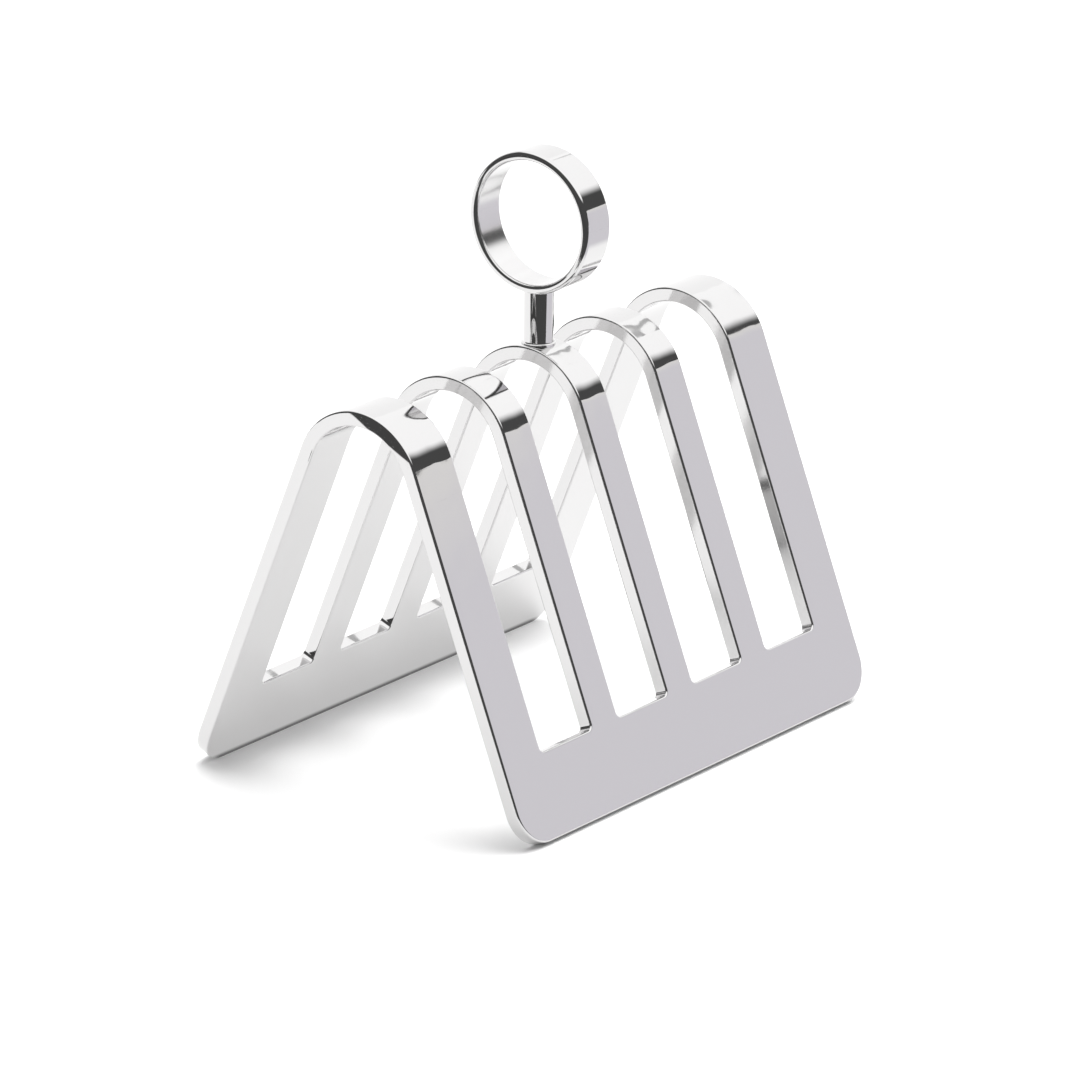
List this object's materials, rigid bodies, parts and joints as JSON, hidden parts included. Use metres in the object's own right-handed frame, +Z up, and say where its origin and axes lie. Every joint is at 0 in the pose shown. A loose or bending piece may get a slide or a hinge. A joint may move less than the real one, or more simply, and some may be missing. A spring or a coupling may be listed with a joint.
{
  "type": "toast rack",
  "caption": "Toast rack bent from one slotted plate into an A-shaped row of round-topped arches, with a finger ring on a short stem.",
  "frame": {"origin": "on the table, under the middle of the rack", "axes": "+X along the row of arches, -Y the front, +Z up through the stem and ring"},
  "size_m": [0.154, 0.11, 0.1591],
  "materials": {
    "polished_plate": "mirror-polished stainless steel",
    "polished_handle": "mirror-polished stainless steel",
    "screw_steel": "plain turned stainless steel"
  },
  "bodies": {
    "root": {"rack_body": "polished_plate", "handle_stem": "polished_handle", "handle_ring": "polished_handle", "handle_screw": "screw_steel"}
  },
  "joints": []
}
